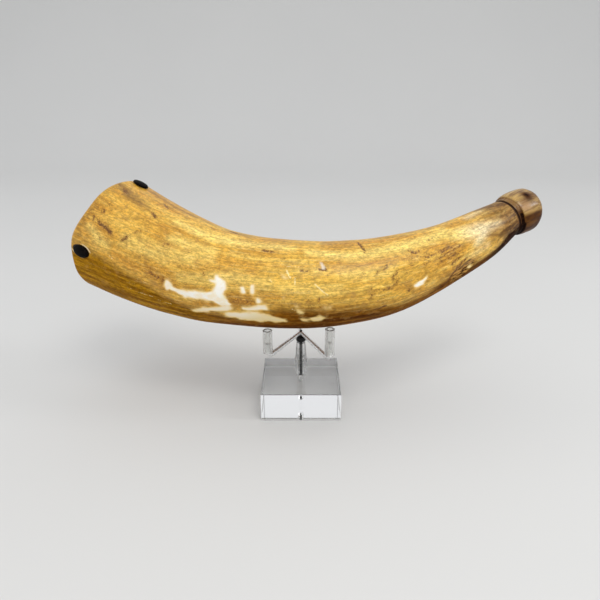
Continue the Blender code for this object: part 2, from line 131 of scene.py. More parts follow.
# Floor of the studio, with its sweep up to a backdrop, in metres
FLOOR_HALF_WIDTH = 2.4
FLOOR_FRONT = -1.6
FLOOR_DROP = 0.0002
SWEEP_START = 0.9
SWEEP_RADIUS = 0.6
SWEEP_STEPS = 16
BACKDROP_TOP = 0.75


def smooth_value(stations, share):
    """Read values at shares of the length from a smooth curve through stations."""
    shares = np.array([station[0] for station in stations])
    values = np.array([station[1] for station in stations])
    last = len(shares) - 1
    before = np.maximum(np.arange(last + 1) - 1, 0)
    after = np.minimum(np.arange(last + 1) + 1, last)
    slopes = (values[after] - values[before]) / (shares[after] - shares[before])
    right = np.clip(np.searchsorted(shares, share, side="left"), 1, last)
    left = right - 1
    width = shares[right] - shares[left]
    t = (share - shares[left]) / width
    value = (2 * t**3 - 3 * t**2 + 1) * values[left]
    value += (t**3 - 2 * t**2 + t) * width * slopes[left]
    value += (3 * t**2 - 2 * t**3) * values[right]
    value += (t**3 - t**2) * width * slopes[right]
    return value


def horn_radius(distance):
    """Outside radius at distances from the rim, in millimetres."""
    return smooth_value(DIAMETERS, np.asarray(distance) / HORN_LENGTH) / 2.0


def cavity_radius(distance):
    """Radius of the hollow at distances from the rim."""
    share = np.asarray(distance) / HORN_LENGTH
    wall = WALL_AT_BUTT + (WALL_AT_NECK - WALL_AT_BUTT) * share**WALL_POWER
    return np.maximum(horn_radius(distance) - wall, BORE_DIAMETER / 2.0)


class HornAxis:
    """Centreline of the horn in millimetres, read by distance from the rim."""

    def __init__(self):
        yaw = math.radians(CURVE_YAW)
        lean = math.radians(CURVE_LEAN)
        across = np.array((math.cos(yaw), math.sin(yaw), 0.0))
        back = np.array((-math.sin(yaw), math.cos(yaw), 0.0))
        rise = math.cos(lean) * np.array((0.0, 0.0, 1.0)) + math.sin(lean) * back
        step = HORN_LENGTH / AXIS_STEPS
        edges = np.arange(AXIS_STEPS + 1) / AXIS_STEPS
        middles = (np.arange(AXIS_STEPS) + 0.5) / AXIS_STEPS
        moves = self.direction(middles, across, rise) * step
        self.points = np.vstack([np.zeros((1, 3)), np.cumsum(moves, axis=0)])
        self.tangents = self.direction(edges, across, rise)
        place = np.array((HORN_MIDDLE_X, POST_SETBACK - HORN_FORWARD, 0.0))
        place[2] = BASE_HEIGHT + JUNCTION_RISE + HORN_ABOVE_JUNCTION
        place[2] += float(horn_radius(HORN_LENGTH / 2.0))
        self.points += place - self.points[AXIS_STEPS // 2]

    @staticmethod
    def direction(share, across, rise):
        """Unit directions at shares of the length."""
        span = 2.0 * share - 1.0
        bend = span - BEND_FADE * span**3 / 3.0 + BEND_TOWARDS_NECK * span**2 / 2.0
        heading = math.radians(MIDDLE_HEADING) + HORN_LENGTH / (2.0 * BEND_RADIUS) * bend
        return np.outer(np.cos(heading), across) + np.outer(np.sin(heading), rise)

    def at(self, distance):
        """Point, tangent, upward normal and front normal at one distance."""
        inside = min(max(distance, 0.0), HORN_LENGTH)
        place = inside / HORN_LENGTH * AXIS_STEPS
        index = min(int(place), AXIS_STEPS - 1)
        blend = place - index
        point = self.points[index] * (1 - blend) + self.points[index + 1] * blend
        tangent = self.tangents[index] * (1 - blend) + self.tangents[index + 1] * blend
        tangent /= np.linalg.norm(tangent)
        point = point + tangent * (distance - inside)
        point[2] -= float(smooth_value(SAG, inside))
        upward = np.array((0.0, 0.0, 1.0)) - tangent * tangent[2]
        upward /= np.linalg.norm(upward)
        return point, tangent, upward, np.cross(tangent, upward)


def ramp(value, low, high):
    """Smooth step from 0 at low to 1 at high."""
    t = np.clip((value - low) / (high - low), 0.0, 1.0)
    return t * t * (3.0 - 2.0 * t)


def waves(seed, along, around, place, octaves=1):
    """Smooth random field on the horn, from -1 to 1, seamless round it."""
    distance, degrees = place
    total = np.zeros(np.broadcast(distance, degrees).shape)
    weight = 1.0
    for octave in range(octaves):
        cells = max(int(round(around * 2**octave)), 2)
        steps = max(int(round(along * 2**octave)), 2)
        grid = np.random.default_rng(seed + octave).uniform(-1.0, 1.0, (steps + 3, cells))
        x = np.clip(distance / (HORN_LENGTH + KNOB_LENGTH), 0.0, 1.0) * steps
        y = (degrees % 360.0) / 360.0 * cells
        row = np.minimum(x.astype(int), steps)
        column = y.astype(int)
        u = x - row
        v = y - column
        u = u * u * (3.0 - 2.0 * u)
        v = v * v * (3.0 - 2.0 * v)
        here = column % cells
        there = (column + 1) % cells
        low = grid[row, here] * (1 - v) + grid[row, there] * v
        high = grid[row + 1, here] * (1 - v) + grid[row + 1, there] * v
        total += weight * (low * (1 - u) + high * u)
        weight *= 0.5
    return total / (2.0 - 2.0 * weight)


def stroke(points, distance, degrees, radius, soft, rough):
    """Mask of a brushed line through (distance, angle, half width) points."""
    mask = np.zeros(distance.shape)
    for first, second in zip(points, points[1:]):
        middle = (first[1] + second[1]) / 2.0
        turned = (degrees - middle + 180.0) % 360.0 - 180.0
        y = np.radians(turned) * radius
        y1 = math.radians(first[1] - middle) * radius
        y2 = math.radians(second[1] - middle) * radius
        dx = second[0] - first[0]
        dy = y2 - y1
        length = np.maximum(dx * dx + dy * dy, 1e-6)
        t = np.clip(((distance - first[0]) * dx + (y - y1) * dy) / length, 0.0, 1.0)
        gap = np.hypot(distance - first[0] - t * dx, y - y1 - t * dy)
        width = first[2] + (second[2] - first[2]) * t
        part = 1.0 - ramp(gap + rough * width, width - soft, width + soft)
        mask = np.maximum(mask, part)
    return mask


# Marks on the horn: a strength, then points of distance from the rim, angle and half width
# White patches: mostly painted highlights, some worn cream horn
WHITE_WEAR_AND_HIGHLIGHT = (
    (1, ((65, 84, 0.9), (65.6, 88.5, 1.9), (65, 91, 1.3))),
    (1, ((65.6, 89, 1.6), (70.5, 92.5, 1.3), (76, 94.5, 1.6))),
    (1, ((74, 96, 0.8), (78, 94, 2), (82, 92.5, 2.6), (87, 93, 2.6))),
    (1, ((87, 93, 2.6), (92, 91.5, 3.2), (95, 96, 2.8), (98.5, 100.5, 1.2))),
    (1, ((92, 89, 2.8), (94.3, 81, 2.6), (94.2, 75, 2.6), (91.8, 69.5, 1.5))),
    (0.9, ((93, 74, 1.8), (88, 73.5, 0.9))),
    (0.7, ((79.5, 116.5, 1.2), (85.5, 113, 2.2), (91, 109, 2.4), (98, 106, 2.2))),
    (1, ((105.8, 78, 1), (106.3, 81, 1.3))),
    (1, ((110.8, 75, 0.6), (111, 79, 1), (111.5, 82, 0.7))),
    (0.9, ((114, 90, 0.9), (114.5, 94, 1.4))),
    (0.85, ((106.5, 104, 0.9), (112, 102.5, 1.5), (118, 101, 1.4))),
    (0.7, ((98.5, 118, 2.4), (104, 118, 3.4), (110, 116, 3.7), (115.5, 116.5, 3.6))),
    (0.7, ((115.5, 116.5, 3.6), (121, 119.5, 2.9), (126.5, 122, 1.4))),
    (0.7, ((135, 104.5, 0.9), (135.6, 105.5, 0.8))),
    (0.65, ((136.6, 119, 1.1), (138, 120, 0.9))),
    (0.75, ((141, 118.5, 1.2), (145.5, 118.5, 1.5))),
    (0.45, ((148, 101, 0.6), (150.5, 101.5, 0.6))),
    (0.4, ((127, 84, 0.5), (127.5, 87, 0.5))),
    (0.4, ((133, 96.5, 0.5), (133.5, 98.5, 0.5))),
    (1, ((197, 93.5, 1.3), (199.5, 92, 1.6), (201, 90, 0.9), (202.5, 88.8, 0.7))),
    (0.8, ((231.5, 111, 0.7), (232.2, 112, 0.7))),
    (0.5, ((126.5, 60, 0.9), (128, 63, 0.8))),
)

SPECKS = (
    (0.9, ((7.5, 9, 0.5), (11.5, 13, 0.7))),
    (0.9, ((11.2, 42, 0.5), (12, 44, 0.4))),
    (0.8, ((7.4, 50, 0.4), (8.2, 55, 0.5))),
    (1, ((12, 54.5, 0.5), (17.5, 56.5, 0.6), (23, 58.5, 0.6))),
    (0.6, ((17.5, 68, 0.4), (23, 66.5, 0.4))),
    (1, ((32.4, 59.5, 0.8), (33.6, 56.5, 0.7))),
    (0.6, ((36.5, 48.5, 0.4), (40.5, 44.5, 0.4))),
    (1, ((37, 20, 0.5), (41.5, 24, 0.8))),
    (0.9, ((34.5, 357, 0.5), (40, 362, 0.7))),
    (0.6, ((73, 1, 0.4), (77, 4, 0.5))),
    (0.9, ((86, 354, 0.6), (91, 357, 0.6))),
    (0.9, ((113, 26.5, 0.4), (116, 27.5, 0.7), (119.5, 28.5, 0.4))),
    (0.7, ((91.3, 56, 0.3), (91.8, 58.5, 0.5))),
    (0.6, ((84, 67.5, 0.4), (84.4, 69.5, 0.4))),
    (0.8, ((136, 52, 0.4), (140.5, 52.5, 0.4))),
    (0.6, ((140, 85.5, 0.3), (139.5, 92.5, 0.4))),
    (0.6, ((145.5, 86, 0.3), (145.5, 93.5, 0.4))),
    (1, ((171.5, 4, 0.4), (172.5, 18, 0.6), (173.5, 31, 0.4))),
    (0.8, ((164, 5, 0.3), (165, 7.5, 0.3))),
    (0.8, ((198.2, 39, 0.5), (199.5, 44, 0.5), (201.5, 47, 0.3))),
    (0.6, ((180, 60, 0.4), (182, 56, 0.7), (184, 52, 0.4))),
    (0.7, ((184, 74, 0.4), (186.5, 69, 0.8), (188.5, 64.5, 0.4))),
    (0.5, ((182, 87, 0.5), (185, 82, 0.9), (187.5, 76, 0.5))),
    (0.6, ((174, 85.5, 0.4), (179, 86, 0.5), (183.2, 84.5, 0.4))),
    (0.6, ((170.5, 97, 0.4), (172.2, 91, 0.7), (174, 84.5, 0.4))),
    (0.6, ((172, 84, 0.3), (172.6, 80, 0.4))),
    (0.8, ((163.5, 115, 0.5), (167, 112.5, 0.5))),
    (0.9, ((175, 116, 0.4), (178.5, 112.5, 0.6))),
    (0.8, ((172.5, 117, 0.5), (174.5, 114.5, 0.5))),
    (0.8, ((192, 98, 0.5), (193, 96, 0.4))),
    (0.6, ((168.5, 63, 0.3), (170, 60, 0.3))),
    (0.6, ((175.5, 66, 0.3), (177, 60, 0.4))),
    (0.7, ((55, 52, 0.25), (57.5, 48, 0.3), (61, 47, 0.25))),
    (0.5, ((44.5, 72.5, 0.25), (47.5, 67, 0.3))),
    (0.7, ((212, 31, 0.4), (215.5, 28.5, 0.4))),
    (0.9, ((216, 58.5, 0.5), (222, 53, 0.5))),
    (0.8, ((218.5, 74, 0.4), (224, 69, 0.5))),
    (0.7, ((211, 75, 0.4), (215.5, 72, 0.4))),
    (0.8, ((219.5, 84.5, 0.5), (226, 79.5, 0.4))),
    (0.6, ((205, 60.5, 0.4), (209, 57, 0.4))),
    (0.6, ((193, 66.5, 0.3), (197.5, 63, 0.3))),
    (0.5, ((206, 48, 0.3), (212, 44.5, 0.3))),
    # The next speck is the painted shadow below the chip's lower edge
    (1, ((147, 51, 0.6), (149.4, 51, 0.5))),
    (0.8, ((54, 81.5, 0.4), (56, 82.5, 0.4))),
    (0.8, ((57.5, 84.5, 0.4), (60.5, 83, 0.5))),
    (0.7, ((62, 86.5, 0.4), (64.5, 85.5, 0.4))),
    (0.7, ((65.5, 90, 0.4), (68.5, 90.5, 0.4))),
    (0.7, ((199.5, 44, 0.4), (204, 43, 0.4))),
    (0.8, ((205, 57, 0.3), (211.5, 56, 0.4))),
    (0.8, ((213.5, 55.5, 0.3), (218.5, 54, 0.4))),
    (0.7, ((221, 56, 0.4), (226, 54, 0.4))),
    (0.7, ((219, 64, 0.3), (229.5, 59, 0.4))),
    (0.7, ((212.5, 66, 0.3), (218, 65, 0.3))),
    (0.6, ((202, 68, 0.3), (208, 66.5, 0.3))),
    (1, ((215.5, 122, 0.6), (217.5, 113, 0.6), (219, 105, 0.7))),
    (1, ((219, 105, 0.7), (223, 97, 0.6), (229.5, 87.5, 0.4))),
)

SCRATCHES = (
    (1, ((128.4, 53, 0.5), (130.6, 61.5, 0.4))),
    (0.9, ((132.5, 58.5, 0.3), (133.4, 68, 0.4), (133.6, 78, 0.3))),
    (1, ((143.6, 69.5, 0.4), (146.5, 77, 0.4), (149.8, 84, 0.3))),
    (0.7, ((131, 101, 0.4), (133.5, 104, 0.3))),
    (0.7, ((120, 64, 0.5), (121, 67, 0.5))),
    (0.6, ((126, 47, 0.3), (138, 48.5, 0.3))),
    (0.5, ((128, 78, 0.3), (141, 79, 0.3))),
    (0.7, ((27.5, 80, 0.3), (30.5, 83, 0.4))),
    (0.5, ((34, 98, 0.3), (49, 101, 0.3))),
    (0.5, ((38, 108, 0.3), (56, 110, 0.3))),
    (0.6, ((58, 113, 0.3), (67, 114.5, 0.4))),
    (0.5, ((44, 92, 0.3), (53, 94.5, 0.3))),
)

OLIVE = (
    (0.9, ((2, 6, 3.5), (11, 11, 6), (22, 14.5, 5), (34, 18, 2))),
    (0.5, ((96, 24, 1.6), (101, 30, 1.6))),
    (0.5, ((84, 352, 3), (100, 360, 3))),
    # The next stroke is painted shade along the rim, where the horn turns away from the light
    (0.45, ((0, 10, 5), (1, 60, 6), (2, 110, 7))),
    (0.5, ((28, 40, 2), (33, 34, 2))),
    (0.7, ((3, 104, 6), (20, 108, 8), (45, 114, 7), (72, 119, 3))),
    (0.8, ((12.5, 90, 1.2), (25, 95, 2), (39, 95.5, 2.2), (51.5, 97, 1))),
    (0.4, ((124, 35.5, 1.5), (135.5, 46, 1.2), (157.5, 47.5, 1.2), (168.5, 48, 1))),
    (0.4, ((118, 5, 2), (150, 5, 2.5), (165, 2, 1.5))),
)

ORANGE = (
    (0.9, ((30, 77, 3), (41, 80, 4.5), (47, 82, 3.5))),
    (0.7, ((53, 78, 3), (60, 80, 4), (68, 80, 3))),
    (0.8, ((101, 94, 2.5), (107, 95, 3.5), (114, 99, 2))),
    (0.7, ((80, 103, 2), (90, 103, 2))),
    (0.6, ((150, 2, 2), (180, 8, 3), (215, 8, 2))),
    (0.5, ((205, 52, 2), (222, 58, 3))),
    (0.5, ((80.5, 56.5, 4), (96.5, 49, 5), (108.5, 52.5, 4))),
    (0.8, ((54, 82.5, 2), (60, 84.5, 2.6), (67.5, 90, 2))),
    (0.5, ((204.5, 66, 3), (222, 83, 3))),
    (0.6, ((186, 88, 4), (200, 100, 4))),
)

# Pale bands: partly the horn's cream tone, partly a painted sheen where the light falls along the
# upper side
PALE_AND_SHEEN = (
    (0.8, ((8, 62, 2), (16, 68, 4), (24, 72, 2))),
    (0.9, ((55, 18, 3), (80, 20, 5), (105, 18, 4), (130, 20, 3))),
    (1, ((140, 26, 3), (165, 33, 4.5), (194, 29, 5), (225, 26, 5))),
    (1, ((221, 28, 4), (236, 42, 7), (250, 50, 5), (240, 68, 4))),
    (0.5, ((157, 57, 2.5), (168, 62, 3))),
    (0.6, ((125.5, 75, 3), (156, 77, 3.5))),
    (0.6, ((60, 40, 5), (85, 42, 5))),
    (0.6, ((70, 78, 3), (100, 66, 6), (120, 72, 4))),
    (0.5, ((160, 60, 4), (185, 64, 3))),
    (0.6, ((232, 88, 3), (246, 84, 2))),
    (0.9, ((243, 44, 6), (252, 48, 5), (261, 54, 3))),
    (0.8, ((246, 4, 3), (258, 0, 2))),
    (0.5, ((34, 60, 6), (60, 58, 8), (84, 50, 6))),
)

RUST = (
    (0.8, ((10, 53, 1.5), (17, 56, 2.2), (24, 58, 1.5))),
    (0.7, ((1.5, 50, 1.5), (6, 47, 2.5), (10, 46, 1.5))),
    (0.7, ((5.5, 31, 1.2), (13.5, 35.5, 2))),
    (0.8, ((31, 58, 1.5), (35.5, 56.5, 1.8))),
    (0.5, ((34, 54, 2), (43, 41, 2))),
    (0.9, ((52, 80, 2), (60, 84, 3), (69, 91, 2))),
    (0.7, ((96, 92, 1.5), (104, 94, 3), (112, 97, 2))),
    (0.5, ((124, 92, 2), (140, 96, 3), (150, 100, 2))),
    (0.5, ((196, 52, 2), (214, 60, 4), (228, 74, 3))),
)

# Dark streaks, most of them along the top edge
DARK_STREAKS = (
    (0.9, ((12, 346, 1.2), (46, 352, 1.2), (76, 350, 1.2), (110, 354, 1))),
    (0.6, ((2, 8, 1.5), (14, 13, 2), (26, 17, 1.6), (36, 20, 1))),
    (0.7, ((160, 350, 0.8), (198, 362, 1.2), (221, 350, 1.2), (250, 344, 1.5))),
    (0.6, ((9, 80, 0.8), (17, 84, 1.2), (30, 92, 1), (46, 96, 0.6))),
    (0.5, ((84, 352, 2), (104, 362, 2))),
)

NECK_BROWN = (
    (0.8, ((262, 10, 1), (276, 20, 3))),
    (1, ((254, 76, 0.8), (264, 80, 3.2), (276, 88, 5.5))),
    (0.8, ((268, 50, 1), (276.5, 62, 3))),
    (0.9, ((256, 350, 1), (266, 358, 3), (276, 375, 4))),
    (0.9, ((258, 38, 0.8), (265, 45, 2.2), (276, 50, 3))),
    (0.9, ((249, 66, 0.8), (258.5, 82, 2), (268, 91, 3))),
    (0.7, ((251, 52, 0.8), (262, 60, 1.8), (276, 78, 3.5))),
    (0.9, ((260, 92, 1.2), (268, 97, 2.5), (276, 102, 4.5))),
    (0.5, ((256, 20, 1), (268, 22, 1.5))),
)

SCAR = ((1, ((224, 118, 7), (232, 102, 4))),)

CHIP = ((1, ((147.4, 42, 0.5), (148.4, 48.5, 1.1))),)

# Brushes: strokes, sway along and round with the ragged edge, softness, roughness
BRUSHES = {
    "specks": (SPECKS, 0.8, 1.5, 0.8, -0.5),
    "scar": (SCAR, 1.5, 0, 1.5, 0.2),
    "pale": (PALE_AND_SHEEN, 2.0, 0, 3.5, 0.3),
    "orange": (ORANGE, 1.5, 0, 2.5, 0.3),
    "olive": (OLIVE, 1.5, 0, 2.0, 0.3),
    "scratch": (SCRATCHES, 0, 0.8, 0.25, 0),
    "chip": (CHIP, 0, 0, 0.4, 0),
    "brown": (NECK_BROWN, 0, 2.5, 1.6, 0.4),
    "rust": (RUST, 0, 3.0, 3.0, 0.3),
    "soot": (DARK_STREAKS, 0, 2.0, 2.0, 0.3),
}

# Four masks to each stored attribute
MARK_LAYERS = {
    "marks_a": ("white", "specks", "belly", "scar"),
    "marks_b": ("pale", "orange", "olive", "neck"),
    "marks_c": ("scratch", "inside", "chip", "knob"),
    "marks_d": ("band", "dark", "rosy", "groove"),
    "marks_e": ("brown", "lip", "rust", "soot"),
}

# Waves of the rim's edge: angle, spread of angle, and distance towards the knob
RIM_WAVES = ((46, 13, 0.8), (80, 15, -1.9), (133, 8, 0.6), (149, 2.2, 0.9))

# Dark underside, partly the horn's brown patina and partly painted shade: distance from the rim,
# and the angles where it starts and is full
BELLY_PATINA_AND_SHADE = (
    (0, 84, 98), (20, 78, 91), (48, 87, 99), (66, 98, 112), (83, 107, 120),
    (104, 111, 131), (115, 100, 122), (126, 88, 113), (140, 88, 115), (155, 92, 119),
    (170, 98, 121), (187, 105, 126), (202, 102, 129), (218, 92, 116), (230, 94, 114),
    (241, 103, 118), (256, 98, 110), (264, 84, 98), (271, 86, 104), (277, 88, 106),
)


def masks_of(strokes, distance, degrees, radius, soft, rough):
    """Strongest of several strokes at each point."""
    total = np.zeros(distance.shape)
    for strength, points in strokes:
        part = stroke(points, distance, degrees, radius, soft, rough)
        total = np.maximum(total, strength * part)
    return total


def knob_rings():
    """Radii and heights of the knob from its foot to its end."""
    full = KNOB_DIAMETER / 2.0
    end = KNOB_END_DIAMETER / 2.0
    shoulder = KNOB_SHOULDER_DIAMETER / 2.0
    foot = float(horn_radius(HORN_LENGTH)) + KNOB_FOOT_STEP
    rings = [(foot - KNOB_FOOT_STEP, 0.0), (foot, KNOB_BEVEL)]
    for share in (0.33, 0.66, 1.0):
        height = KNOB_BEVEL + (KNOB_SHOULDER - 2.0 * KNOB_BEVEL) * share
        rings.append((foot + (shoulder - foot) * share, height))
    shoulder += SHOULDER_BEVEL
    rings.append((shoulder, KNOB_SHOULDER + SHOULDER_BEVEL))
    swell = KNOB_WIDEST - KNOB_SHOULDER - SHOULDER_BEVEL
    for step in range(1, SWELL_STEPS + 1):
        angle = 0.5 * math.pi * step / SWELL_STEPS
        height = KNOB_SHOULDER + SHOULDER_BEVEL + swell * (1.0 - math.cos(angle))
        rings.append((shoulder + (full - shoulder) * math.sin(angle), height))
    start = KNOB_LENGTH - KNOB_ROUNDING
    for share in (0.35, 0.7):
        rings.append((full, KNOB_WIDEST + (start - KNOB_WIDEST) * share))
    for step in range(ROUNDING_STEPS + 1):
        angle = 0.5 * math.pi * step / ROUNDING_STEPS
        height = start + KNOB_ROUNDING * math.sin(angle)
        rings.append((end + (full - end) * math.cos(angle), height))
    return rings


def knob_frame(axis, height):
    """Point, direction, up and front on the knob's centreline, which bends down."""
    neck, tangent, upward, front = axis.at(HORN_LENGTH)
    foot = math.radians(KNOB_FOOT_TILT)
    turned = foot + height / KNOB_BEND_RADIUS
    ahead = KNOB_BEND_RADIUS * (math.sin(turned) - math.sin(foot))
    drop = KNOB_BEND_RADIUS * (math.cos(foot) - math.cos(turned))
    way = math.cos(turned) * tangent - math.sin(turned) * upward
    knob_up = math.cos(turned) * upward + math.sin(turned) * tangent
    return neck + ahead * tangent - drop * upward, way, knob_up, front


def over_top(degrees, split):
    """Angles that run on below 0 past a split, so that a mark can cross the top."""
    return np.where(degrees > split, degrees - 360.0, degrees)


def knob_marks(height):
    """Colour masks round the knob at one height over the neck's end."""
    over = over_top(DEGREES, 270.0)
    station = HORN_LENGTH + height
    drift = 8.0 * waves(41, 30, 5, (station, DEGREES), 2)
    away = 1.0 - ramp(over, 235.0, 268.0)
    # Darker underside, lower chamfer band and foot of the knob: partly the knob's colour, partly
    # painted shade
    low = ramp(over + 0.6 * drift, 62.0, 84.0) * away
    band = (1.0 - ramp(height, 2.7, 3.4)) * ramp(height, 0.1, 0.6)
    foot = (1.0 - ramp(height, 3.0, 7.0)) * ramp(over, 66.0, 104.0) * away
    fade = ramp(over + 0.5 * drift, 44.0, 70.0) * away
    spot = np.exp(-(((over - 26.0 + drift) / 20.0) ** 2) - ((height - 11.0) / 2.8) ** 2)
    # Rosy tan round the knob's highlight: partly the knob's own pink tone, partly a painted
    # highlight
    rosy = np.exp(-(((over - 56.0 + drift) / 13.0) ** 2)) * ramp(height, 2.8, 4.2)
    rosy = rosy * (1.0 - ramp(height, 7.5, 10.5))
    end = 0.25 * ramp(height + 0.15 * drift, 12.0, 17.0)
    shaded = 0.5 * ramp(over, -85.0, -50.0) * (1.0 - ramp(over, -25.0, 8.0))
    shaded = shaded * (1.0 - ramp(height, 3.0, 5.5))
    dark = np.zeros(SIDES)
    for part in (0.8 * low, spot, end, fade * band, foot, shaded):
        dark = np.maximum(dark, part)
    # Painted shade in the groove at the knob's foot
    groove = 1.0 - ramp(height, 0.0, 0.5)
    return {
        "knob": 1.0,
        "band": band,
        "dark": np.maximum(dark, groove),
        "rosy": rosy * (1.0 - dark),
        "groove": groove,
    }


def horn_layers(place):
    """Masks of the marks on the outside of the horn, at distances and angles."""
    distance, degrees = place
    plain = horn_radius(distance)
    edge = waves(71, 60, 70, place, 3)
    frayed = degrees + 3.0 * waves(72, 60, 60, place, 2)
    layers = {}
    for name, (strokes, sway, turn, soft, rough) in BRUSHES.items():
        swayed = distance + sway * edge
        layers[name] = masks_of(strokes, swayed, degrees + turn * edge, plain, soft, rough)
    layers["white"] = 0.55 * masks_of(WHITE_WEAR_AND_HIGHLIGHT, distance + 0.8 * edge, frayed, plain, 3.0, -0.1)
    layers["white"] += 0.45 * masks_of(WHITE_WEAR_AND_HIGHLIGHT, distance + 1.2 * edge, frayed, plain, 1.2, 0.0)

    neck = ramp(distance + 6.0 * waves(83, 3, 14, place, 2), 238.0, 272.0)
    layers["neck"] = neck * (1.0 - 0.7 * layers["pale"])
    # The dark underside is partly the horn's patina and partly painted shade
    places, starts, fulls = zip(*BELLY_PATINA_AND_SHADE)
    start = np.interp(distance, places, starts)
    full = np.interp(distance, places, fulls)
    over = over_top(degrees, 300.0)
    belly = ramp(over + 3.0 * waves(81, 12, 2, place, 2), start, full)
    layers["belly"] = belly * (1.0 - ramp(over, 215.0, 262.0))
    # Painted shade in the groove where the neck meets the knob
    layers["groove"] = ramp(distance, HORN_LENGTH - 1.7, HORN_LENGTH - 0.6)
    layers["lip"] = 1.0 - ramp(distance, 0.4, 1.6)
    return layers


def horn_relief(place, layers):
    """Swells, dents, lines along and rings round the horn, and the marks, in millimetres."""
    distance = place[0]
    relief = 0.30 * waves(11, 5, 4, place)
    relief += 0.10 * waves(12, 14, 12, place, 2)
    relief += 0.05 * waves(13, 9, 90, place, 2) * ramp(distance, 20.0, 60.0)
    relief += 0.05 * waves(14, 80, 6, place, 2)
    relief -= 0.22 * layers["specks"]
    relief -= 0.10 * layers["scratch"]
    relief -= 0.50 * layers["chip"]
    relief -= layers["scar"] * (0.35 + 0.30 * waves(15, 90, 70, place, 2))
    relief *= 1.0 - ramp(distance, HORN_LENGTH - RELIEF_END, HORN_LENGTH)
    return relief - 0.45 * layers["groove"]


def rim_edge():
    """How far the edge of the rim lies towards the knob at each angle."""
    edge = 0.22 * waves(21, 2, 16, (0.0, DEGREES), 3)
    for angle, spread, back in RIM_WAVES:
        edge += back * np.exp(-(((over_top(DEGREES, 300.0) - angle) / spread) ** 2))
    return edge


def store(mesh, name, kind, field, values):
    """Store a value of that kind on each point of a mesh."""
    layer = mesh.attributes.new(name, kind, "POINT")
    layer.data.foreach_set(field, values.astype(np.float32).ravel())


def add_object(name, data):
    """New object in the scene with that mesh, light or camera."""
    made = bpy.data.objects.new(name, data)
    bpy.context.scene.collection.objects.link(made)
    return made


def add_smooth_mesh(name, points, faces):
    """New smooth mesh object in the scene."""
    mesh = bpy.data.meshes.new(name)
    mesh.from_pydata(points, [], faces)
    mesh.polygons.foreach_set("use_smooth", [True] * len(mesh.polygons))
    mesh.update()
    return add_object(name, mesh)


class Skin:
    """Closed skin of rings, each point with its place in the grain and its masks."""

    def __init__(self):
        self.rows = []
        self.places = []
        self.masks = {name: [] for names in MARK_LAYERS.values() for name in names}

    def add(self, place, radius, ahead, station, values):
        """Store one ring round a place on a centreline, in millimetres."""
        centre, along, upward, front = place
        around = np.outer(np.cos(TURN), upward) + np.outer(np.sin(TURN), front)
        reached = np.broadcast_to(radius, (SIDES,))
        moved = np.outer(np.broadcast_to(ahead, (SIDES,)), along)
        self.rows.append(centre + around * reached[:, None] + moved)
        flat = float(np.mean(reached))
        spots = [np.full(SIDES, station), flat * np.cos(TURN), flat * np.sin(TURN)]
        self.places.append(np.stack(spots, axis=1))
        for name, rings in self.masks.items():
            rings.append(np.broadcast_to(np.asarray(values.get(name, 0.0), float), (SIDES,)))

    def make_object(self, name):
        """Mesh object of the rings, with the last ring joined to the first."""
        index = np.arange(len(self.rows) * SIDES).reshape(-1, SIDES)
        across = np.roll(index, -1, axis=1)
        below = np.roll(index, -1, axis=0)
        corner = np.roll(across, -1, axis=0)
        faces = np.stack([index, across, corner, below], axis=-1).reshape(-1, 4)
        points = np.vstack(self.rows) * MM
        made = add_smooth_mesh(name, points.tolist(), faces.tolist())
        store(made.data, "grain", "FLOAT_VECTOR", "vector", np.vstack(self.places) * MM)
        for layer, names in MARK_LAYERS.items():
            masks = [np.concatenate(self.masks[mark]) for mark in names]
            store(made.data, layer, "FLOAT_COLOR", "color", np.stack(masks, axis=1))
        return made


def add_inside(skin, axis):
    """The bore and the hollow, from the knob to the rim."""
    reach = HORN_LENGTH + KNOB_LENGTH
    for height in (KNOB_LENGTH - BORE_INSET, KNOB_LENGTH / 2.0):
        skin.add(knob_frame(axis, height), BORE_DIAMETER / 2.0, 0.0, reach, {"inside": 1.0})
    for distance in np.linspace(FIRST_HOLLOW_RING, HORN_LENGTH, HOLLOW_RINGS)[::-1]:
        wall = cavity_radius(distance)
        skin.add(axis.at(distance), wall, 0.0, distance, {"inside": 1.0})


def add_outside(skin, axis):
    """The edge of the rim, and the outside from the rim to the neck."""
    distances = np.linspace(FIRST_OUTER_RING, HORN_LENGTH, OUTER_RINGS)
    distance = np.repeat(distances[:, None], SIDES, axis=1)
    degrees = np.repeat(DEGREES[None, :], OUTER_RINGS, axis=0)
    place = (distance, degrees)
    layers = horn_layers(place)
    radius = horn_radius(distance) + horn_relief(place, layers)
    edge = rim_edge()
    ahead = edge * (1.0 - ramp(distance, 0.0, RIM_WAVE_REACH))
    slope = math.tan(math.radians(KNOB_FOOT_TILT)) * radius * np.cos(np.radians(degrees))
    ahead += slope * ramp(distance, HORN_LENGTH - FOOT_SLOPE_REACH, HORN_LENGTH)

    inner = cavity_radius(0.0)
    marks = {"inside": 0.6, "belly": layers["belly"][0] * 0.5, "lip": 1.0}
    for share, back in RIM_RINGS:
        ring = inner + RIM_INNER_EDGE + (radius[0] - RIM_OUTER_EDGE - inner) * share
        skin.add(axis.at(0.0), ring, edge + back, 0.0, marks)
    for index, station in enumerate(distances):
        marks = {name: layer[index] for name, layer in layers.items()}
        skin.add(axis.at(station), radius[index], ahead[index], station, marks)


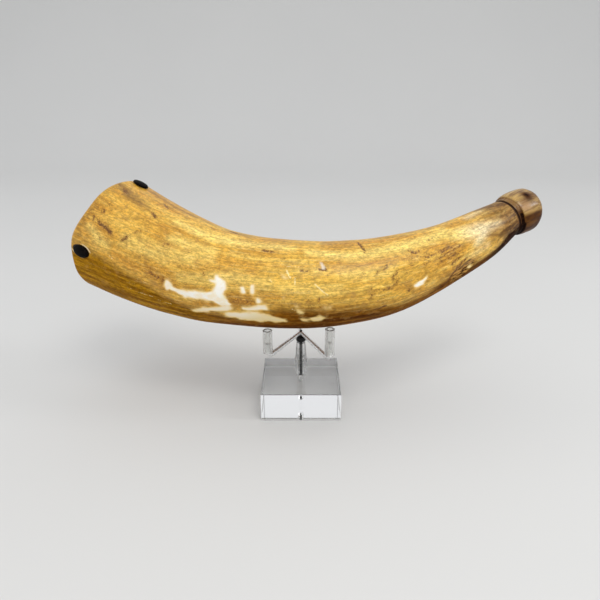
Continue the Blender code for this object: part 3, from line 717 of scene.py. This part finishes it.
def add_knob(skin, axis):
    """The knob, with its faint facets, and its end down to the bore."""
    for plain, height in knob_rings():
        facet = FACET_DEPTH * np.abs(np.sin(TURN * (FACETS / 2.0) + FACET_TURN))
        facet = facet * ramp(height, 1.0, 6.0) * (1.0 - ramp(height, 17.0, 21.0))
        station = HORN_LENGTH + height
        ring = plain - facet + KNOB_UNEVENNESS * waves(31, 40, 18, (station, DEGREES), 2)
        skin.add(knob_frame(axis, height), ring, 0.0, station, knob_marks(height))
    reach = HORN_LENGTH + KNOB_LENGTH
    bore = BORE_DIAMETER / 2.0
    end = KNOB_END_DIAMETER / 2.0
    last = knob_frame(axis, KNOB_LENGTH)
    for share in (0.3, 0.7):
        ring = end + (bore - end) * share
        skin.add(last, ring, 0.0, reach, {"knob": 1.0, "dark": 0.7})
    skin.add(last, bore + BORE_CHAMFER, -0.05, reach, {"knob": 1.0, "dark": 1.0})


def build_horn():
    """Detailed horn: one closed skin with bore, hollow, rim, outside and knob."""
    axis = HornAxis()
    skin = Skin()
    add_inside(skin, axis)
    add_outside(skin, axis)
    add_knob(skin, axis)
    return skin.make_object("horn_detail")


def linear(value):
    """Linear share of a screen value from 0 to 255."""
    share = value / 255.0
    if share <= 0.04045:
        return share / 12.92
    return ((share + 0.055) / 1.055) ** 2.4


def srgb(*values):
    """Linear colour of a screen colour."""
    return tuple(linear(value) for value in values)


class Graph:
    """A node tree that is written down step by step."""

    def __init__(self, tree):
        self.nodes = tree.nodes
        self.links = tree.links

    def feed(self, socket, value):
        """Link a socket, or set its value."""
        if isinstance(value, bpy.types.NodeSocket):
            self.links.new(value, socket)
        elif isinstance(value, tuple) and len(value) == 3 and socket.type == "RGBA":
            socket.default_value = (*value, 1.0)
        else:
            socket.default_value = value

    def node(self, kind, inputs, **settings):
        """New node with these inputs, by name or number, and these settings."""
        made = self.nodes.new(kind)
        for name, value in settings.items():
            setattr(made, name, value)
        for name, value in inputs.items():
            self.feed(made.inputs[name], value)
        return made

    def masks(self, name):
        """The four masks of a stored attribute."""
        layer = self.node("ShaderNodeAttribute", {}, attribute_name=name)
        colour = self.node("ShaderNodeSeparateColor", {"Color": layer.outputs["Color"]})
        return [*colour.outputs, layer.outputs["Alpha"]]

    def local(self):
        """Coordinates fixed to the object."""
        return self.node("ShaderNodeTexCoord", {}).outputs["Object"]

    def parts(self, vector):
        """The three parts of a vector."""
        return self.node("ShaderNodeSeparateXYZ", {0: vector}).outputs

    def vector(self, operation, first, second=(0.0, 0.0, 0.0)):
        """Arithmetic on two vectors."""
        made = self.node("ShaderNodeVectorMath", {0: first, 1: second}, operation=operation)
        gives_value = operation in ("LENGTH", "DOT_PRODUCT")
        return made.outputs["Value" if gives_value else "Vector"]

    def noise(self, vector, scale, detail, roughness):
        """Noise value between 0 and 1."""
        inputs = {"Vector": vector, "Scale": scale, "Detail": detail, "Roughness": roughness}
        return self.node("ShaderNodeTexNoise", inputs).outputs["Fac"]

    def step(self, value, low, high, start=0.0, end=1.0, shape="SMOOTHSTEP"):
        """Step of a value, from start at low to end at high."""
        inputs = {"Value": value, "From Min": low, "From Max": high}
        inputs.update({"To Min": start, "To Max": end})
        return self.node("ShaderNodeMapRange", inputs, interpolation_type=shape).outputs["Result"]

    def math(self, operation, first, second=0.0):
        """Arithmetic on two values."""
        return self.node("ShaderNodeMath", {0: first, 1: second}, operation=operation).outputs[0]

    def times(self, first, second):
        """Product of two values."""
        return self.math("MULTIPLY", first, second)

    def mix(self, factor, first, second, blend="MIX"):
        """Mixture of two colours."""
        inputs = {0: factor, 6: first, 7: second}
        return self.node("ShaderNodeMix", inputs, data_type="RGBA", blend_type=blend).outputs[2]

    def blend(self, value, low, high, first, second):
        """Two screen colours, mixed by a smooth step of a value."""
        return self.mix(self.step(value, low, high), srgb(*first), srgb(*second))

    def grey(self, value):
        """Grey colour of a value."""
        return self.node("ShaderNodeCombineColor", {0: value, 1: value, 2: value}).outputs[0]

    def bump(self, height, strength, distance, normal=None):
        """Bumped normal, over another where one is given."""
        inputs = {"Strength": strength, "Distance": distance, "Height": height}
        if normal is not None:
            inputs["Normal"] = normal
        return self.node("ShaderNodeBump", inputs).outputs["Normal"]


class Shader(Graph):
    """A material that is painted layer over layer, in screen colours."""

    def __init__(self, name):
        self.colour = None
        self.material = bpy.data.materials.new(name)
        self.material.use_nodes = True
        super().__init__(self.material.node_tree)
        self.nodes.clear()
        self.output = self.nodes.new("ShaderNodeOutputMaterial")

    def paint(self, mask, colour, strength=1.0):
        """Lay a colour over what is painted so far."""
        if strength < 1.0:
            mask = self.times(mask, strength)
        if isinstance(colour, tuple):
            colour = srgb(*colour)
        self.colour = self.mix(mask, self.colour, colour)

    def shade(self, value):
        """Darken or lighten what is painted so far."""
        self.colour = self.mix(1.0, self.colour, self.grey(value), "MULTIPLY")

    def surface(self, **values):
        """Principled surface with these inputs, named with underscores for spaces."""
        inputs = {name.replace("_", " "): value for name, value in values.items()}
        made = self.node("ShaderNodeBsdfPrincipled", inputs)
        self.links.new(made.outputs[0], self.output.inputs["Surface"])
        return self.material


class HornSurface(Shader):
    """Colours, gloss and relief of the old polished horn."""

    def __init__(self):
        super().__init__("horn_surface")
        grain = self.node("ShaderNodeAttribute", {}, attribute_name="grain")
        self.grain = grain.outputs["Vector"]
        self.along = self.parts(self.grain)[0]
        found = {}
        for layer, names in MARK_LAYERS.items():
            found.update(zip(names, self.masks(layer)))
        self.marks = SimpleNamespace(**found)
        self.cloud = self.drawn_noise(0.5, 50.0, 4.0, 0.6)
        self.broad = self.drawn_noise(0.07, 260.0, 3.0, 0.55)
        self.streak = self.drawn_noise(0.045, 800.0, 4.0, 0.65)
        self.hair = self.drawn_noise(0.035, 1250.0, 2.0, 0.6)
        self.dash = self.drawn_noise(0.16, 1300.0, 2.0, 0.5)
        self.grit = self.drawn_noise(0.55, 640.0, 4.0, 0.8)
        self.wisps = self.drawn_noise(0.35, 170.0, 3.0, 0.55)
        self.blotch = self.noise(self.grain, 170.0, 5.0, 0.65)
        self.fleck = self.noise(self.grain, 1100.0, 3.0, 0.6)
        self.crumb = self.noise(self.grain, 900.0, 2.0, 0.6)
        calm = self.times(self.marks.belly, 0.75)
        calm = self.math("MAXIMUM", calm, self.times(self.marks.neck, 0.5))
        calm = self.math("MAXIMUM", calm, self.step(self.along, 0.090, 0.030, 0.0, 0.55))
        self.free = self.math("SUBTRACT", 1.0, calm)

    def drawn_noise(self, squeeze, scale, detail, roughness):
        """Noise that is drawn out along the grain, more with a smaller squeeze."""
        place = self.vector("MULTIPLY", self.grain, (squeeze, 1.0, 1.0))
        return self.noise(place, scale, detail, roughness)

    def paint_ground(self):
        """Ochre ground with cream, orange and olive areas and a browner neck; the pale bands are
        partly a painted sheen, and painted shade darkens the ground along the rim and towards the
        butt.
        """
        marks = self.marks
        self.colour = self.blend(self.cloud, 0.35, 0.66, (200, 148, 50), (226, 180, 72))
        self.paint(self.step(self.broad, 0.50, 0.66, 0.0, 0.45), (242, 206, 102))
        self.paint(self.step(self.broad, 0.48, 0.34, 0.0, 0.40), (182, 124, 36))
        # Painted shade: the ground is darkened towards the butt
        self.paint(self.step(self.along, 0.07, 0.015, 0.0, 0.35), (196, 138, 40))
        # Pale bands, partly a painted sheen, whiter towards the neck
        cream = self.blend(self.along, 0.225, 0.248, (252, 226, 128), (255, 242, 196))
        self.paint(marks.pale, cream, 0.70)
        self.paint(marks.orange, (200, 138, 40), 0.60)
        self.paint(marks.olive, (146, 106, 38), 0.75)
        tan = self.blend(self.broad, 0.38, 0.60, (100, 68, 32), (160, 122, 72))
        self.paint(marks.neck, tan, 0.85)
        umber = self.blend(self.streak, 0.40, 0.62, (52, 22, 4), (108, 66, 22))
        self.paint(marks.brown, umber, 0.85)

    def paint_underside_and_shade(self):
        """Brown underside, partly patina and partly painted shade, lighter at the butt and
        darkest under the neck.
        """
        near_butt = self.blend(self.broad, 0.38, 0.62, (134, 88, 8), (178, 128, 22))
        under = self.blend(self.broad, 0.38, 0.62, (86, 44, 3), (132, 82, 14))
        under = self.mix(self.step(self.along, 0.062, 0.100), near_butt, under)
        under = self.mix(self.step(self.along, 0.238, 0.258), under, srgb(36, 12, 3))
        self.paint(self.marks.belly, under)

    def paint_lines(self):
        """Light and dark growth lines, then hairs and grit over all."""
        light = self.times(self.step(self.streak, 0.53, 0.66, 0.0, 0.28), self.free)
        self.paint(light, (250, 226, 146))
        dark = self.times(self.step(self.streak, 0.47, 0.33, 0.0, 0.34), self.free)
        self.paint(dark, (146, 98, 34))
        self.shade(self.step(self.hair, 0.32, 0.68, 0.86, 1.09))
        self.shade(self.step(self.grit, 0.32, 0.68, 0.64, 1.35))

    def paint_stains(self):
        """Stains, rust, dark streaks, dots and dashes, the scar, the specks and the scratches."""
        marks = self.marks
        self.paint(self.step(self.blotch, 0.54, 0.68), (150, 98, 32), 0.40)
        rusty = self.times(marks.rust, self.step(self.fleck, 0.44, 0.56))
        self.paint(rusty, (122, 64, 16), 0.75)
        # Dark streaks, most of them along the top edge
        dark_streaked = self.times(marks.soot, self.step(self.streak, 0.62, 0.42))
        self.paint(dark_streaked, (84, 58, 30), 0.85)
        pits = self.math("ADD", self.fleck, self.times(marks.rust, 0.10))
        self.paint(self.step(pits, 0.65, 0.71, 0.0, 0.65), (98, 58, 20))
        dashes = self.times(self.step(self.dash, 0.64, 0.72), self.step(self.blotch, 0.46, 0.60))
        self.paint(dashes, (112, 70, 24), 0.6)
        crust = self.blend(self.dash, 0.42, 0.58, (56, 28, 8), (186, 138, 70))
        self.paint(marks.scar, crust)
        self.paint(marks.specks, (156, 104, 40), 0.65)
        crumbs = self.step(self.crumb, 0.36, 0.60, -0.60, 0.20)
        worn = self.math("ADD", marks.specks, crumbs)
        self.paint(self.step(worn, 0.15, 0.85, 0.0, 0.80), (86, 52, 20))
        nick = self.math("ADD", marks.scratch, self.step(self.fleck, 0.25, 0.75, -0.3, 0.3))
        self.paint(self.step(nick, 0.30, 0.80, 0.0, 0.7), (255, 238, 176))

    def paint_patches(self):
        """White patches with torn edges, mostly painted highlights and partly worn cream horn,
        the chip, and a painted highlight on the lip of the rim.
        """
        marks = self.marks
        # White patches, mostly painted highlights and partly worn cream horn
        milk_and_highlight = self.blend(self.blotch, 0.40, 0.60, (255, 252, 242), (252, 238, 208))
        milk_and_highlight = self.mix(self.times(marks.belly, 0.7), milk_and_highlight, srgb(236, 212, 150))
        torn = self.math("ADD", marks.white, self.step(self.blotch, 0.30, 0.70, -0.14, 0.14))
        self.paint(self.step(torn, 0.05, 0.55), (244, 210, 132))
        self.paint(self.step(torn, 0.30, 0.85), milk_and_highlight)
        self.paint(marks.chip, (226, 210, 186))
        # Painted highlight along the edge of the rim
        self.paint(self.times(marks.lip, self.times(self.free, 0.6)), (226, 192, 120))

    def paint_knob(self):
        """Tan knob with a brown chamfer, a rosy side that is partly a painted highlight, a dark
        underside and lower chamfer that are partly painted shade, painted shade in the groove,
        and dark streaks.
        """
        marks = self.marks
        outside = self.colour
        self.colour = self.blend(self.wisps, 0.38, 0.60, (124, 88, 40), (186, 150, 84))
        # Rosy side, partly a painted highlight
        self.paint(marks.rosy, (178, 138, 98), 0.8)
        self.paint(marks.band, (116, 76, 14), 0.85)
        brown = self.blend(self.wisps, 0.42, 0.64, (62, 30, 4), (104, 64, 14))
        deep = self.mix(self.step(marks.dark, 0.80, 0.98), brown, srgb(20, 5, 1))
        self.paint(self.step(marks.dark, 0.0, 0.85), deep)
        self.paint(self.step(self.streak, 0.48, 0.38, 0.0, 0.35), (70, 40, 18))
        self.colour = self.mix(marks.knob, outside, self.colour)
        # Painted shade in the groove between neck and knob
        self.paint(marks.groove, (44, 22, 10))
        self.paint(marks.inside, (150, 112, 62), 0.8)

    def paint_peg_seat(self):
        """Pale crescents round the front peg, partly wear and partly a painted highlight on the
        edge of its seat, and a painted shadow in the dark gap round it.
        """
        turn = math.radians(PEG_FRONT_ANGLE)
        height = float(horn_radius(PEG_FROM_RIM)) * math.cos(turn)
        spot = self.vector("SUBTRACT", self.grain, (PEG_FROM_RIM * MM, height * MM, 0.0))
        halves = (2.0 / (PEG_LENGTH * MM), 2.0 / (PEG_WIDTH * MM), 0.0)
        oval = self.vector("MULTIPLY", spot, halves)
        away = self.vector("LENGTH", oval)
        side = self.math("ABSOLUTE", self.vector("DOT_PRODUCT", oval, (0.55, 0.83, 0.0)))
        front = self.step(self.parts(self.grain)[2], 0.0, 0.01)
        # Pale crescents: partly wear, partly a painted highlight on the edge of the peg's seat
        ring = self.times(self.step(away, 1.00, 1.06), self.step(away, 1.28, 1.14))
        ring = self.times(ring, self.step(side, 0.75, 1.1))
        self.paint(self.times(ring, front), (246, 226, 186))
        # Painted shadow in the gap round the peg
        gap = self.times(self.step(away, 1.04, 1.00), front)
        self.paint(gap, (40, 24, 12))

    def gloss(self):
        """Roughness, and strength of the reflections."""
        marks = self.marks
        rough = self.step(self.streak, 0.3, 0.7, 0.30, 0.42)
        rough = self.math("ADD", rough, self.times(marks.scar, 0.25))
        for mask in (marks.inside, marks.belly, marks.dark):
            rough = self.math("ADD", rough, self.times(mask, 0.2))
        rough = self.math("SUBTRACT", rough, self.times(marks.knob, 0.12))
        dim = self.math("MAXIMUM", marks.belly, marks.dark)
        dim = self.math("MAXIMUM", dim, self.times(marks.neck, 0.55))
        shine = self.math("SUBTRACT", 0.32, self.times(dim, 0.30))
        polish = self.times(self.math("SUBTRACT", marks.knob, marks.dark), 0.15)
        return rough, self.math("ADD", shine, polish)

    def relief(self):
        """Normal with fine streaks, hairs and shallow dents."""
        normal = self.bump(self.streak, 0.20, 0.0005)
        normal = self.bump(self.hair, 0.15, 0.0002, normal)
        return self.bump(self.blotch, 0.10, 0.0008, normal)


def horn_material():
    """Old polished cow horn: streaked ochre with cream patches and brown stains, with painted
    highlights and painted shade in its colour.
    """
    shader = HornSurface()
    shader.paint_ground()
    shader.paint_underside_and_shade()
    shader.paint_lines()
    shader.paint_stains()
    shader.paint_patches()
    shader.paint_knob()
    shader.paint_peg_seat()
    rough, shine = shader.gloss()
    return shader.surface(
        Base_Color=shader.colour,
        Roughness=rough,
        Normal=shader.relief(),
        IOR=1.5,
        Specular_IOR_Level=shine,
        Subsurface_Weight=0.05,
        Subsurface_Radius=(1.0, 0.45, 0.15),
        Subsurface_Scale=0.002,
    )


def wood_material():
    """Dry brown plug wood with end-grain rings and fine pores."""
    shader = Shader("plug_wood")
    place = shader.local()
    moved = {"Vector": place, "Location": (0.12, -0.045, -0.095)}
    moved = shader.node("ShaderNodeMapping", moved).outputs[0]
    inputs = {"Vector": moved, "Scale": 90.0, "Distortion": 5.0}
    inputs.update({"Detail": 3.0, "Detail Scale": 40.0})
    waved = shader.node("ShaderNodeTexWave", inputs, wave_type="RINGS", rings_direction="X")
    rings = waved.outputs["Fac"]
    pores = shader.noise(place, 2200.0, 3.0, 0.6)
    cloud = shader.noise(place, 70.0, 4.0, 0.6)
    shader.colour = shader.mix(rings, srgb(112, 76, 44), srgb(142, 102, 62))
    shader.paint(shader.step(cloud, 0.4, 0.7, 0.0, 0.5), (84, 54, 30))
    shader.paint(shader.step(pores, 0.62, 0.72, 0.0, 0.5), (58, 36, 20))
    normal = shader.bump(rings, 0.2, 0.0005)
    normal = shader.bump(pores, 0.25, 0.0002, normal)
    rough = shader.step(pores, 0.3, 0.7, 0.55, 0.75)
    return shader.surface(Base_Color=shader.colour, Roughness=rough, Normal=normal)


def peg_material():
    """Near-black matt pegs with faintly worn crowns."""
    shader = Shader("peg_surface")
    place = shader.local()
    wear = shader.noise(place, 420.0, 4.0, 0.6)
    fine = shader.noise(place, 2600.0, 2.0, 0.5)
    colour = shader.blend(wear, 0.50, 0.80, (5, 2, 1), (24, 16, 12))
    rough = shader.step(wear, 0.3, 0.7, 0.45, 0.60)
    normal = shader.bump(fine, 0.2, 0.0002)
    return shader.surface(
        Base_Color=colour, Roughness=rough, Normal=normal, Specular_IOR_Level=0.06
    )


def acrylic_material():
    """Polished clear acrylic."""
    shader = Shader("clear_acrylic")
    smudge = shader.noise(shader.local(), 120.0, 3.0, 0.6)
    rough = shader.step(smudge, 0.55, 0.8, 0.0, 0.03)
    return shader.surface(
        Base_Color=(0.985, 0.99, 0.99), Roughness=rough, IOR=1.49, Transmission_Weight=1.0
    )


def chrome_material():
    """Bright plated rods; the collar, and the post's front and back, look black."""
    shader = Shader("chrome")
    place = shader.local()
    smudge = shader.noise(place, 260.0, 4.0, 0.6)
    across, deep, height = shader.parts(place)
    aside = shader.math("ABSOLUTE", across)
    behind = shader.math("SUBTRACT", deep, POST_SETBACK * MM)
    behind = shader.math("POWER", behind, 2.0)
    away = shader.math("SQRT", shader.math("ADD", shader.math("POWER", aside, 2.0), behind))
    post = shader.step(away, (POST_RADIUS + 0.4) * MM, (POST_RADIUS + 0.2) * MM)
    stripe = shader.step(aside, POST_RADIUS * 0.75 * MM, POST_RADIUS * 0.45 * MM)
    collar = shader.step(away, (COLLAR_RADIUS + 0.3) * MM, (COLLAR_RADIUS + 0.1) * MM)
    below = shader.step(height, (COLLAR_TOP + 0.2) * MM, COLLAR_TOP * MM)
    above = shader.step(height, (COLLAR_BOTTOM - 0.2) * MM, COLLAR_BOTTOM * MM)
    collar = shader.times(collar, shader.times(below, above))
    black = shader.math("MAXIMUM", collar, shader.times(post, stripe))
    bright = shader.mix(shader.step(smudge, 0.4, 0.8), (0.90, 0.90, 0.89), (0.78, 0.78, 0.78))
    tone = shader.mix(black, bright, (0.015, 0.015, 0.015))
    rough = shader.step(smudge, 0.4, 0.8, 0.26, 0.36)
    return shader.surface(Base_Color=tone, Roughness=rough, Metallic=0.8)


def vinyl_material():
    """Soft clear tube with a milky tint."""
    shader = Shader("clear_vinyl")
    haze = shader.noise(shader.local(), 500.0, 3.0, 0.6)
    rough = shader.step(haze, 0.3, 0.7, 0.01, 0.06)
    tint = shader.mix(haze, (0.84, 0.84, 0.82), (0.93, 0.93, 0.92))
    return shader.surface(Base_Color=tint, Roughness=rough, IOR=1.52, Transmission_Weight=0.88)


def paper_material():
    """Plain pale floor."""
    shader = Shader("studio_floor")
    soft = shader.noise(shader.local(), 3.0, 2.0, 0.5)
    colour = shader.mix(soft, (0.63, 0.63, 0.62), (0.66, 0.66, 0.65))
    return shader.surface(Base_Color=colour, Roughness=0.7)


def use_material(node, material):
    """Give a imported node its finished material."""
    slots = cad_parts[node].material_slots
    if not slots:
        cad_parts[node].data.materials.append(material)
        return
    for holder in slots:
        holder.material = material


def make_floor():
    """Pale sweep: a flat floor that curves up into a backdrop far behind."""
    profile = [(FLOOR_FRONT, 0.0), (SWEEP_START, 0.0)]
    for step in range(1, SWEEP_STEPS + 1):
        angle = 0.5 * math.pi * step / SWEEP_STEPS
        back = SWEEP_START + SWEEP_RADIUS * math.sin(angle)
        profile.append((back, SWEEP_RADIUS * (1.0 - math.cos(angle))))
    profile.append((SWEEP_START + SWEEP_RADIUS, BACKDROP_TOP))
    vertices = []
    for y, z in profile:
        z -= FLOOR_DROP
        vertices += [(-FLOOR_HALF_WIDTH, y, z), (FLOOR_HALF_WIDTH, y, z)]
    faces = [(2 * i, 2 * i + 1, 2 * i + 3, 2 * i + 2) for i in range(len(profile) - 1)]
    floor = add_smooth_mesh("floor", vertices, faces)
    floor.data.materials.append(paper_material())


def add_light(name, place, target, size, power, tint=(1.0, 1.0, 1.0)):
    """Soft rectangular light aimed at a point."""
    data = bpy.data.lights.new(name, "AREA")
    data.shape = "RECTANGLE"
    data.size, data.size_y = size
    data.energy = power
    data.color = tint
    light = add_object(name, data)
    light.location = place
    way = Vector(target) - Vector(place)
    light.rotation_euler = way.to_track_quat("-Z", "Y").to_euler()


def make_world():
    """Pale room that is brighter overhead and darker behind the camera."""
    world = bpy.data.worlds.new("studio")
    world.use_nodes = True
    graph = Graph(world.node_tree)
    way = graph.parts(graph.node("ShaderNodeTexCoord", {}).outputs["Generated"])
    rise = graph.step(way[2], 0.0, 0.9, 0.74, 0.88, "LINEAR")
    back = graph.step(way[1], -0.95, -0.45, 0.9, 1.0)
    background = graph.nodes["Background"]
    background.inputs["Color"].default_value = (0.97, 0.98, 1.0, 1.0)
    graph.feed(background.inputs["Strength"], graph.times(rise, back))
    bpy.context.scene.world = world


def make_camera():
    """Camera at the photograph's viewing angle."""
    data = bpy.data.cameras.new("camera")
    data.sensor_fit = "HORIZONTAL"
    data.sensor_width = 36.0
    data.lens = FOCAL_PIXELS / FRAME_PIXELS * data.sensor_width
    data.shift_y = (AXIS_ROW - FRAME_PIXELS / 2.0) / FRAME_PIXELS
    data.clip_start = 0.01
    camera = add_object("camera", data)
    camera.location = CAMERA_PLACE
    camera.rotation_euler = (math.radians(90.0 - CAMERA_TILT), 0.0, 0.0)
    bpy.context.scene.camera = camera
    bpy.context.scene.view_settings.view_transform = "Standard"


horn = build_horn()
horn.data.materials.append(horn_material())
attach(horn, "root")
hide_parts("horn", "horn_tip", "horn_knob")

use_material("butt_plug", wood_material())
pegs = peg_material()
for name in ("peg_front", "peg_top", "peg_back"):
    use_material(name, pegs)
use_material("display_base", acrylic_material())
use_material("cradle", chrome_material())
vinyl = vinyl_material()
for name in ("sleeve_front_left", "sleeve_front_right", "sleeve_back"):
    use_material(name, vinyl)

make_floor()
make_world()
add_light("key", (0.25, -0.55, 1.0), (0.0, 0.0, 0.09), (0.5, 0.4), 3.9, (1.0, 0.98, 0.95))
add_light("left", (-1.1, 0.1, 0.5), (0.0, 0.0, 0.08), (0.5, 0.8), 1.6)
add_light("right", (1.0, -0.15, 0.72), (0.1, 0.0, 0.1), (0.22, 0.3), 2.0)
make_camera()
